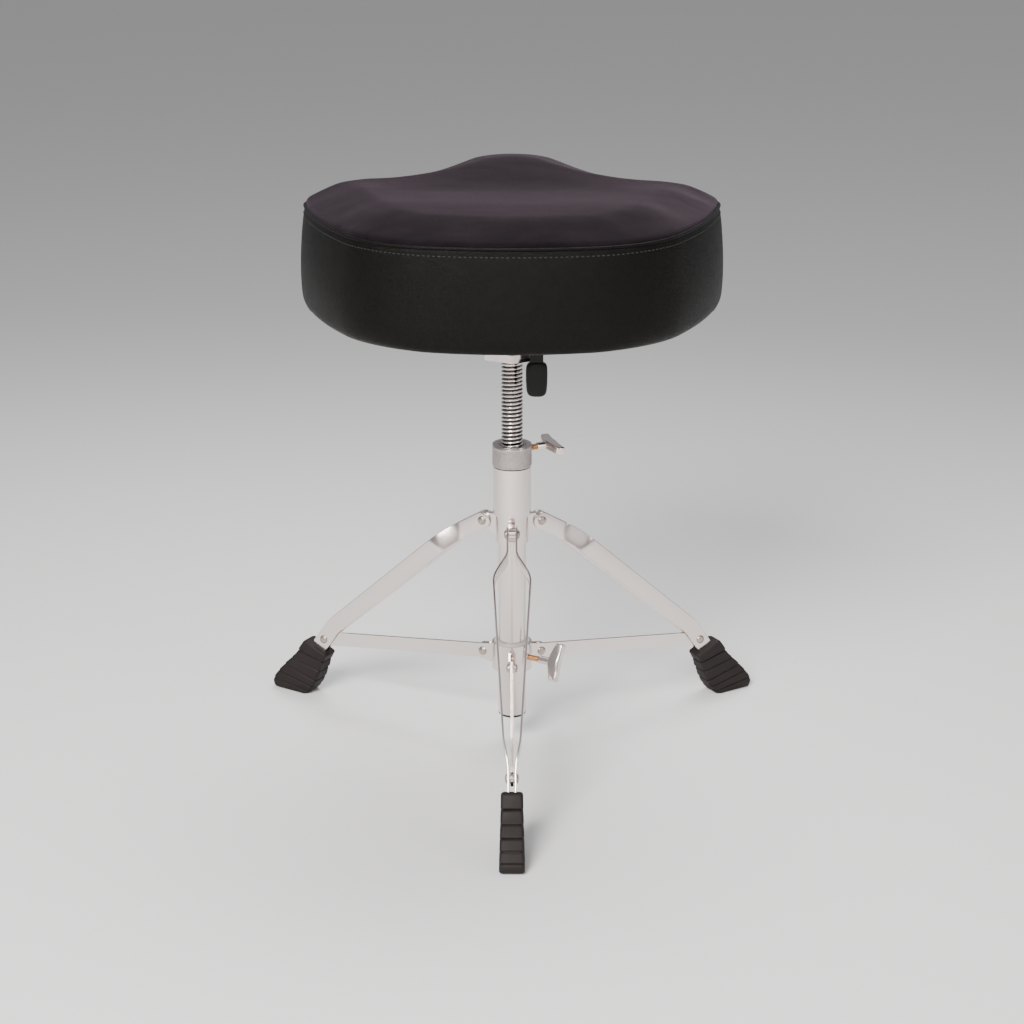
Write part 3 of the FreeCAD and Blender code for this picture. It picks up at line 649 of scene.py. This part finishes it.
def inside_outline(co, margin):
    """True if a point lies more than margin inside the outline, by its nearest station."""
    best, answer = math.inf, False
    stations = 60
    for i in range(stations + 1):
        point, inward = outline_station(i / stations)
        offset = Vector((abs(co.x), co.y)) - point.xy
        if offset.length < best:
            best = offset.length
            answer = offset.dot(inward) > margin
    return answer


def closed_tube(path, radius, sides=10):
    """Points and faces of a round tube along a smooth closed path."""
    points, faces = [], []
    count = len(path)
    for row, point in enumerate(path):
        following = (row + 1) % count
        ahead = path[following] - path[row - 1]
        ahead.normalize()
        side = ahead.cross(UP).normalized()
        top = side.cross(ahead).normalized()
        points += [point + (side * math.cos(TAU * k / sides) + top * math.sin(TAU * k / sides))
                   * radius for k in range(sides)]
        for k in range(sides):
            step = (k + 1) % sides
            faces.append((row * sides + k, row * sides + step,
                          following * sides + step, following * sides + k))
    return points, faces


def capsule(start, end, radius, lift, sides=6):
    """A short stitch, thin at its ends and lifted in the middle."""
    along = (end - start).normalized()
    side = along.cross(lift).normalized()
    rings = []
    for share, swell, rise in ((0, 0.35, -0.6), (0.18, 0.9, 0.1), (0.5, 1.0, 0.35),
                               (0.82, 0.9, 0.1), (1, 0.35, -0.6)):
        centre = start.lerp(end, share) + lift * rise * radius
        rings.append([centre + (side * math.cos(TAU * k / sides) + lift * math.sin(TAU * k / sides))
                      * radius * swell for k in range(sides)])
    return loft(rings)


def make_seat():
    """Velour top, vinyl band, piping and stitches, all from one set of rings."""
    rows, seam_row = seat_rows()
    puff(rows, seam_row, 7 * MM)
    crown = rows[seam_row:]
    points, faces = loft(crown, caps=False)
    count = len(rows[0])
    points = points + [sum(crown[-1], Vector()) / count]
    last = (len(crown) - 1) * count
    faces += [(last + i, last + (i + 1) % count, len(points) - 1) for i in range(count)]
    top = new_mesh("velour_top", points, faces)
    paint(top, VELOUR)
    subdivide(top)
    stand_for(top, "seat", "velour", "seat_top_cover", "seat_foam")

    band_rows = rows[:seam_row + 1]
    points, faces = loft(band_rows, caps=False)
    band = new_mesh("vinyl_band", points, faces)
    paint(band, VINYL)
    subdivide(band)
    stand_for(band, "seat", "vinyl", "seat_side_band")

    seam = [p + (p - Vector((0, 0, p.z))).normalized() * 0.9 * MM for p in rows[seam_row]]
    piping = join_parts("welt_piping", [closed_tube(seam, 1.5 * MM)])
    paint(piping, VINYL)
    stand_for(piping, "seat", "vinyl", "seam_piping")

    line = stitch_line(rows, seam_row)
    stitches = []
    for i in range(0, len(line) - 1, 3):
        a, b = line[i], line[(i + 2) % len(line)]
        outward = Vector((a.x, a.y, 0)).normalized()
        stitches.append(capsule(a, b, 0.55 * MM, outward))
    thread = join_parts("seam_stitches", stitches)
    paint(thread, THREAD)
    stand_for(thread, "seat", "vinyl")


def stitch_line(rows, seam_row):
    """Closely spaced points on the band, just below the piping."""
    base = [p.copy() for p in rows[seam_row - 2]]
    base.append(base[0])
    gap = 1.6 * MM
    points, spare = [base[0].copy()], 0.0
    for a, b in zip(base, base[1:]):
        length = (b - a).length
        reach = gap - spare
        while reach <= length:
            points.append(a.lerp(b, reach / length))
            reach += gap
        spare = length - (reach - gap)
    return points


# ------------------------------------------------------------ column

def make_spindle():
    """The threaded rod: a helix of trapezoidal thread over a plain core."""
    bottom, top = low("threaded_spindle").z, high("threaded_spindle").z
    crest = high("threaded_spindle").x
    root, pitch, sides = crest - 1.35 * MM, 4 * MM, 48
    # Share of a turn and radius, along one tooth.
    profile = [(0.0, root), (0.2, root), (0.42, crest - 0.15 * MM), (0.5, crest),
               (0.62, crest), (0.7, crest - 0.15 * MM), (0.92, root)]
    per_turn = len(profile)
    turns = int((top - bottom) / pitch) - 2
    total = turns * per_turn
    points, faces = [], []
    for j in range(sides):
        angle = TAU * j / sides
        for k in range(total + 1):
            share, radius = profile[k % per_turn]
            z = bottom + pitch * (k // per_turn + share + j / sides)
            points.append(Vector((radius * math.cos(angle), radius * math.sin(angle), z)))
    column = total + 1
    for j in range(sides):
        wrap = j == sides - 1
        for k in range(total):
            a, b = j * column + k, j * column + k + 1
            if wrap:
                c, d = k + 1 + per_turn, k + per_turn
                if c > total:
                    continue
            else:
                c, d = (j + 1) * column + k + 1, (j + 1) * column + k
            faces.append((a, d, c, b))
    rod = new_mesh("thread_rod", points, faces)
    shade_by_angle(rod, 25)
    inside = root - 0.2 * MM
    plain = [(root * 0.4, bottom), (inside, bottom), (inside, top - 1 * MM), (root - 1 * MM, top)]
    core = join_parts("thread_core", [loft(lathe(plain, sides))])
    steel = make_thread_steel(root + 0.1 * MM, crest - 0.2 * MM)
    for thing in (rod, core):
        paint(thing, steel)
        stand_for(thing, "spindle", "chrome")
    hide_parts("threaded_spindle")


def make_lock_collar():
    """Satin nut with a fine diamond knurl between two plain rims."""
    bottom, top = low("lock_collar").z, high("lock_collar").z
    radius = high("lock_collar").x
    bore = high("threaded_spindle").x + 0.06 * MM
    segments = 300
    knurl_count, knurl_lead, knurl_depth, knurl_sharpness = 60, 2.1 * MM, 0.38 * MM, 2.2
    profile = [(bore, bottom + 2 * MM), (bore, bottom), (radius - 0.9 * MM, bottom),
               (radius - 0.25 * MM, bottom + 0.5 * MM), (radius - 0.1 * MM, bottom + 1.4 * MM)]
    knurl_low, knurl_high = bottom + 1.6 * MM, top - 2.4 * MM
    steps = 36
    rings = lathe(profile, segments)
    for i in range(steps + 1):
        z = knurl_low + (knurl_high - knurl_low) * i / steps
        ring = []
        for j in range(segments):
            angle = TAU * j / segments
            dent = 0.0
            for way in (1, -1):
                groove = (angle / TAU * knurl_count + way * (z - knurl_low) / knurl_lead) % 1.0
                dent = max(dent, 1 - abs(2 * groove - 1) * knurl_sharpness)
            edge = min(i, steps - i) / 2
            r = radius - knurl_depth * dent * min(edge, 1)
            ring.append(Vector((r * math.cos(angle), r * math.sin(angle), z)))
        rings.append(ring)
    rings += lathe([(radius - 0.1 * MM, top - 2.2 * MM), (radius - 0.1 * MM, top - 0.5 * MM),
                    (radius - 0.25 * MM, top - 0.12 * MM), (radius - 0.6 * MM, top),
                    (bore + 3.9 * MM, top), (bore + 3.4 * MM, top - 0.6 * MM),
                    (bore + 0.5 * MM, top - 4.5 * MM), (bore, top - 6 * MM)], segments)
    collar = join_parts("knurled_collar", [loft(rings, caps=False)])
    shade_by_angle(collar, 30)
    paint(collar, SATIN)
    stand_for(collar, "lock_collar", "collar", "lock_collar")


# ------------------------------------------------------------ rivets and wing bolts

def dome(place, radius, rise, start, sides=28):
    """A domed rivet head with a small upright rim, at start along the place's Z axis."""
    rim, steps = 0.35 * MM, 8
    profile = [(radius * 0.55, start - 0.3 * MM), (radius, start), (radius, start + rim)]
    for i in range(1, steps):
        angle = math.pi / 2 * i / steps
        profile.append((radius * math.cos(angle), start + rim + (rise - rim) * math.sin(angle)))
    profile.append((radius * 0.06, start + rise))
    return loft(lathe(profile, sides, place))


def across_leg(azimuth, distance, height):
    """Placement of a rivet through a leg, its Z axis across the leg's plane."""
    origin = unit(azimuth) * distance + UP * height
    return axis_place(origin, unit(azimuth + 90))


def rivet_centre(node):
    """Distance from the column's axis and height of a rivet."""
    bottom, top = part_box(node)
    middle = (bottom + top) / 2
    return middle.xy.length, middle.z


PIVOT_R, PIVOT_Z = 32.6 * MM, (low("leg_pivot_rivets").z + high("leg_pivot_rivets").z) / 2
BRACE_R, BRACE_Z = 33.7 * MM, (low("brace_pivot_rivets").z + high("brace_pivot_rivets").z) / 2
TIE_R, TIE_Z = rivet_centre("front_tie_rivet")


def make_rivets():
    """Domed heads at both ends of every rivet; start is where a head meets the sheet."""
    head, rise, shank_radius, tie_start = 4.6 * MM, 2.4 * MM, 2.9 * MM, 4.4 * MM
    groups = [("leg_pivot_rivets", "base", PIVOT_R, PIVOT_Z, 5.7 * MM),
              ("brace_pivot_rivets", "lower_hub", BRACE_R, BRACE_Z, 3.45 * MM)]
    for name, body, distance, height, start in groups:
        parts = []
        for azimuth in LEGS.values():
            place = across_leg(azimuth, distance, height)
            flipped = place @ Matrix.Rotation(math.pi, 4, "X")
            parts += [dome(place, head, rise, start), dome(flipped, head, rise, start)]
            shank = [(shank_radius, -start), (shank_radius, start)]
            parts.append(loft(lathe(shank, 24, place)))
        rivets = join_parts(name.replace("rivets", "domes"), parts)
        shade_by_angle(rivets, 40)
        paint(rivets, RIVET)
        stand_for(rivets, body, "rivet", name)
    for leg, azimuth in LEGS.items():
        place = across_leg(azimuth, TIE_R, TIE_Z)
        flipped = place @ Matrix.Rotation(math.pi, 4, "X")
        heads = [dome(place, head, rise, tie_start), dome(flipped, head, rise, tie_start)]
        tie = join_parts(f"{leg}_tie_domes", heads)
        shade_by_angle(tie, 40)
        paint(tie, RIVET)
        stand_for(tie, f"{leg}_leg", "rivet", f"{leg}_tie_rivet")


def rounded_section(half_x, half_y, corner, steps=4):
    """Corners of a rounded rectangle, counter-clockwise."""
    ring = []
    for cx, cy, start in ((1, 1, 0), (-1, 1, 90), (-1, -1, 180), (1, -1, 270)):
        for i in range(steps + 1):
            angle = math.radians(start + 90 * i / steps)
            ring.append((cx * (half_x - corner) + corner * math.cos(angle),
                         cy * (half_y - corner) + corner * math.sin(angle)))
    return ring


# For each bolt and its body: azimuth and roll (degrees), then the stud's outer end, the length of
# the wing's neck, the inner end of the stud's visible thread and the height on the column (mm).
BOLTS = {"collar_bolt": (25, -83, 27, 10, 12, 319), "hub_bolt": (-28, -26, 32, 12, 15, 97)}
# Place across the wing, middle, half rise and half thickness (mm) of the wing's left half.
WING = [(-20, 8.7, 2.8, 2.4), (-19.7, 8.7, 4.0, 3.5), (-18.8, 8.6, 4.8, 4.2),
        (-17, 8.2, 5.1, 4.4), (-12, 7.3, 5.6, 4.2), (-6, 6.0, 6.3, 4.4), (0, 5.3, 6.9, 5.2)]


def make_wing_bolts():
    for name, (azimuth, roll, reach, neck_length, inner, height) in BOLTS.items():
        outward = (Matrix.Rotation(math.radians(azimuth), 4, "Z")
                   @ Matrix.Rotation(math.pi / 2, 4, "Y"))
        place = (Matrix.Translation(UP * height * MM) @ outward
                 @ Matrix.Rotation(math.radians(roll), 4, "Z"))
        root = (reach + neck_length) * MM
        neck = [(1 * MM, reach * MM), (3.4 * MM, reach * MM), (4 * MM, reach * MM + 0.7 * MM),
                (4 * MM, root - 1 * MM), (4.3 * MM, root + 2 * MM), (4.2 * MM, root + 8 * MM),
                (3 * MM, root + 10.8 * MM), (1 * MM, root + 11.6 * MM)]
        parts = [loft(lathe(neck, 32, place))]
        stations = WING + [(-a, b, c, d) for a, b, c, d in WING[-2::-1]]
        rings = []
        for across, middle, half_rise, half_thick in stations:
            corner = min(half_rise, half_thick) * 0.55
            section = rounded_section(half_rise * MM, half_thick * MM, corner * MM)
            rings.append([place @ Vector((across * MM, y, root + middle * MM + x))
                          for x, y in section])
        parts.append(loft(rings))
        wing = join_parts(f"{name}_cast_wing", parts)
        shade_by_angle(wing, 35)
        paint(wing, CHROME)
        stand_for(wing, name, "chrome", f"{name}_wing")
        make_stud_thread(name, place, inner * MM, reach * MM)


def make_stud_thread(name, place, inner, reach):
    """Fine ridges on the stud where it shows between the nut and the wing's neck."""
    crest, root, ridge = 2.95 * MM, 2.5 * MM, 0.5 * MM
    profile = [(1 * MM, inner)]
    for i in range(int((reach - inner) / ridge)):
        profile.append((crest if i % 2 else root, inner + i * ridge))
    profile.append((1 * MM, reach))
    stud = join_parts(f"{name}_thread", [loft(lathe(profile, 24, place))])
    shade_by_angle(stud, 30)
    paint(stud, BRASS)
    stand_for(stud, name, "stud", f"{name}_stud")


# ------------------------------------------------------------ legs

# Length and slope below level (degrees) of a strap's straight runs, and the bends between them.
RUNS = [(43 * MM, 31.0), (204.6 * MM, 40.9), (62 * MM, 54.0)]
BENDS = (150 * MM, 60 * MM)
# Distance from the column's axis and sideways offset of a strap's middle (mm).
BOW = [(20, 4.5), (60, 4.5), (80, 18.5), (214, 8), (230, 3.5), (275, 3.5)]


def downhill(angle):
    """Direction in a leg's plane, at a slope below level in degrees."""
    return Vector((math.cos(math.radians(angle)), -math.sin(math.radians(angle))))


def leg_line():
    """Centre line of a strap in its leg's plane: (point, slope) pairs from the pivot down."""
    step, bend_steps = 2.0 * MM, 8
    corners = [Vector((PIVOT_R, PIVOT_Z))]
    for length, angle in RUNS:
        corners.append(corners[-1] + downhill(angle) * length)
    setbacks = [0.0]
    for radius, (_, a), (_, b) in zip(BENDS, RUNS, RUNS[1:]):
        setbacks.append(radius * math.tan(math.radians(b - a) / 2))
    setbacks.append(0.0)
    line = []
    for index, (length, angle) in enumerate(RUNS):
        heading = downhill(angle)
        start, end = setbacks[index], length - setbacks[index + 1]
        count = max(int((end - start) / step), 1)
        for i in range(count + 1):
            line.append((corners[index] + heading * (start + (end - start) * i / count), angle))
        if index < len(BENDS):
            radius, following = BENDS[index], RUNS[index + 1][1]
            tangent = corners[index] + heading * end
            inward = Vector((heading.y, -heading.x))
            centre = tangent + inward * radius
            for i in range(1, bend_steps):
                middle = math.radians(angle + (following - angle) * i / bend_steps)
                outward = Vector((math.sin(middle), math.cos(middle)))
                line.append((centre + outward * radius, math.degrees(middle)))
    return line


def bow_offset(distance):
    """Sideways offset of a strap's middle, its corners eased over a few millimetres."""
    def sharp(r):
        r /= MM
        for (r0, y0), (r1, y1) in zip(BOW, BOW[1:]):
            if r <= r1:
                return (y0 + (y1 - y0) * max(r - r0, 0) / (r1 - r0)) * MM
        return BOW[-1][1] * MM
    reach, half = 4.5 * MM, 6
    samples = [sharp(distance + reach * k / half) for k in range(-half, half + 1)]
    return sum(samples) / len(samples)


def make_strap(leg, azimuth, side, sign):
    """One bent strap of a leg, round at its pivot end."""
    half, thick, round_steps = 9 * MM, 2 * MM, 12
    radial, across = unit(azimuth), unit(azimuth + 90)
    stations = []
    first_angle = RUNS[0][1]
    for i in range(1, round_steps):
        angle = math.pi / 2 * i / round_steps
        reach = half * math.cos(angle)
        point = Vector((PIVOT_R, PIVOT_Z)) - downhill(first_angle) * reach
        stations.append((point, first_angle, half * math.sin(angle)))
    stations += [(point, angle, half) for point, angle in leg_line()]
    spots = []
    for point, _, _ in stations:
        spots.append(radial * point.x + UP * point.y + across * sign * bow_offset(point.x))
    rings = []
    for index, (_, angle, width) in enumerate(stations):
        ahead = spots[min(index + 1, len(spots) - 1)] - spots[max(index - 1, 0)]
        ahead.normalize()
        upward = (radial * math.sin(math.radians(angle)) + UP * math.cos(math.radians(angle)))
        face = ahead.cross(upward).normalized()
        section = rounded_section(width, thick / 2, min(0.75 * MM, width * 0.6), 3)
        rings.append([spots[index] + upward * x + face * y for x, y in section])
    strap = join_parts(f"{leg}_{side}_bar", [loft(rings)])
    shade_by_angle(strap, 35)
    paint(strap, CHROME)
    stand_for(strap, f"{leg}_leg", "chrome", f"{leg}_strap_{side}")


# A foot's outline in its leg's plane, from the leg down: distance from the axis and height (mm).
FOOT_OUTER = [(259, 64.3), (265.5, 55.3), (272.4, 45), (281.5, 36), (290, 27), (298, 17.5),
              (303, 8.2), (300, 0.7)]
FOOT_INNER = [(229.5, 50.6), (233.3, 44.5), (236.3, 36.8), (240.8, 25), (245.8, 14.2),
              (250.5, 7.2), (255, 1.6), (260, 0)]
# Place down the foot, as a share of its length, and depth (mm) of each groove.
FOOT_GROOVES = ((0.21, 1.8), (0.37, 1.1), (0.52, 1.3), (0.66, 1.3), (0.8, 1.0))


def along(points, share):
    """Point at a share of a polyline's parameter, eased through its corners."""
    reach = share * (len(points) - 1)
    index = min(int(reach), len(points) - 2)
    t = reach - index
    p0 = Vector(points[max(index - 1, 0)])
    p1, p2 = Vector(points[index]), Vector(points[index + 1])
    p3 = Vector(points[min(index + 2, len(points) - 1)])
    return 0.5 * ((2 * p1) + (p2 - p0) * t + (2 * p0 - 5 * p1 + 4 * p2 - p3) * t * t
                  + (3 * p1 - p0 - 3 * p2 + p3) * t ** 3)


def make_foot(leg, azimuth):
    """Rubber foot: a collar above a groove, and ribs down the body."""
    radial, across = unit(azimuth), unit(azimuth + 90)
    rings, steps = [], 132
    groove_reach, rib_length, rib_taper = 0.011, 0.14, 0.6
    for i in range(steps + 1):
        share = i / steps
        outer, inner = along(FOOT_OUTER, share), along(FOOT_INNER, share)
        squeeze = max(0.0, 1 - share / 0.06) ** 2 * 2.6 + max(0.0, share / 0.05 - 19) ** 2 * 2.4
        for centre, depth in FOOT_GROOVES:
            squeeze += depth * math.exp(-((share - centre) / groove_reach) ** 2)
            below = (share - centre) / rib_length
            if 0 <= below < 1:
                squeeze += rib_taper * (1 - below)
        middle = (outer + inner) / 2
        span = outer - inner
        half_long = span.length / 2 - squeeze
        half_wide = 10.6 + 1.5 * smooth_step(share * 1.15) - squeeze
        heading = span.normalized()
        section = rounded_section(half_long, half_wide, 3.4, 5)
        ring = []
        for x, y in section:
            spot = middle + heading * x
            ring.append((radial * spot.x + UP * max(spot.y, 0.0)) * MM + across * y * MM)
        rings.append(ring)
    foot = join_parts(f"{leg}_rubber_foot", [loft(rings)])
    shade_by_angle(foot, 50)
    paint(foot, RUBBER)
    stand_for(foot, f"{leg}_leg", "rubber", f"{leg}_foot")


def make_legs():
    for leg, azimuth in LEGS.items():
        make_strap(leg, azimuth, "left", 1)
        make_strap(leg, azimuth, "right", -1)
        make_foot(leg, azimuth)


# ------------------------------------------------------------ clamp lever

def make_lever():
    """The lever's soft grip, swollen in the middle; its neck keeps the CAD shape."""
    bottom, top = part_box("lever_grip")
    centre = (bottom + top) / 2
    half_x, half_y = (top.x - bottom.x) / 2 + 0.4 * MM, (top.y - bottom.y) / 2 + 1.0 * MM
    height = top.z - bottom.z
    rings = []
    for share, swell in ((0, 0.5), (0.02, 0.7), (0.06, 0.86), (0.13, 0.95), (0.25, 0.985),
                         (0.5, 1.0), (0.75, 1.0), (0.87, 0.97), (0.94, 0.87), (0.98, 0.72),
                         (1, 0.55)):
        wide = half_x * swell * (0.955 + 0.045 * min(share * 2, 1))
        section = rounded_section(wide, half_y * (0.75 + 0.25 * swell), half_y * 0.72, 6)
        rings.append([Vector((centre.x + x, centre.y + y, bottom.z + height * share))
                      for x, y in section])
    grip = join_parts("moulded_grip", [loft(rings)])
    subdivide(grip)
    paint(grip, PLASTIC)
    stand_for(grip, "clamp_lever", "black_plastic", "lever_grip")
    paint(NODES["lever_neck"], PLASTIC)
    bevel(NODES["lever_neck"], 0.8 * MM)


# ------------------------------------------------------------ studio

def area(name, place, target, width, height, power, colour=(1, 1, 1), spread=180):
    """A rectangular lamp that the camera doesn't see."""
    light = bpy.data.lights.new(name, "AREA")
    light.shape = "RECTANGLE"
    light.size, light.size_y = width, height
    light.energy = power
    light.color = colour
    light.spread = math.radians(spread)
    lamp = bpy.data.objects.new(name, light)
    lamp.location = place
    lamp.rotation_euler = (Vector(target) - Vector(place)).to_track_quat("-Z", "Y").to_euler()
    lamp.visible_camera = False
    bpy.context.scene.collection.objects.link(lamp)


def make_studio():
    """A pale floor and room, with four soft lamps."""
    world = bpy.data.worlds.new("soft_room")
    bpy.context.scene.world = world
    world.use_nodes = True
    nodes, links = world.node_tree.nodes, world.node_tree.links
    coords = nodes.new("ShaderNodeTexCoord")
    split = nodes.new("ShaderNodeSeparateXYZ")
    links.new(coords.outputs["Generated"], split.inputs[0])
    glow = remap(nodes, links, split.outputs["Z"], -0.1, 0.9, 0.0, 1.0)
    links.new(blend_colours(nodes, links, glow, (0.6, 0.6, 0.605), (0.78, 0.78, 0.8)),
              nodes["Background"].inputs["Color"])
    nodes["Background"].inputs["Strength"].default_value = 0.55

    size, level = 14.0, -0.2 * MM
    corners = [Vector((x * size, y * size, level)) for x, y in ((-1, -1), (1, -1), (1, 1), (-1, 1))]
    floor = new_mesh("studio_floor", corners, [(0, 1, 2, 3)], smooth=False)
    material, nodes, links, shader = material_base("pale_floor", (0.7, 0.7, 0.7), 0.9)
    shader.inputs["Specular IOR Level"].default_value = 0.1
    paint(floor, material)

    area("key", (-1.1, -2.6, 2.4), (-0.1, -0.9, 0), 1.4, 1.4, 96, (1, 0.97, 0.95), 110)
    area("fill", (2.4, -1.7, 1.3), (0, 0, 0.4), 0.8, 1.4, 20, (1, 0.93, 0.9))
    area("front", (0, -4.2, 2.1), (0, 0, 0.9), 5.4, 2.8, 34, (1, 0.96, 0.94))
    area("top", (0.3, 1.0, 2.4), (0, 0.1, 0.5), 1.6, 1.2, 12, spread=80)


def make_camera():
    """A short telephoto view from the front, a little above the seat and aimed at the column."""
    camera = bpy.data.cameras.new("camera")
    camera.lens = 74.15
    camera.sensor_width = 36
    thing = bpy.data.objects.new("camera", camera)
    thing.location = (0, -2.0384, 0.9340)
    aim = Vector((0, 0, 0.2528)) - thing.location
    thing.rotation_euler = aim.to_track_quat("-Z", "Y").to_euler()
    bpy.context.scene.collection.objects.link(thing)
    bpy.context.scene.camera = thing


make_camera()
make_studio()
finish_cad_nodes()
make_seat()
make_spindle()
make_lock_collar()
make_rivets()
make_wing_bolts()
make_legs()
make_lever()
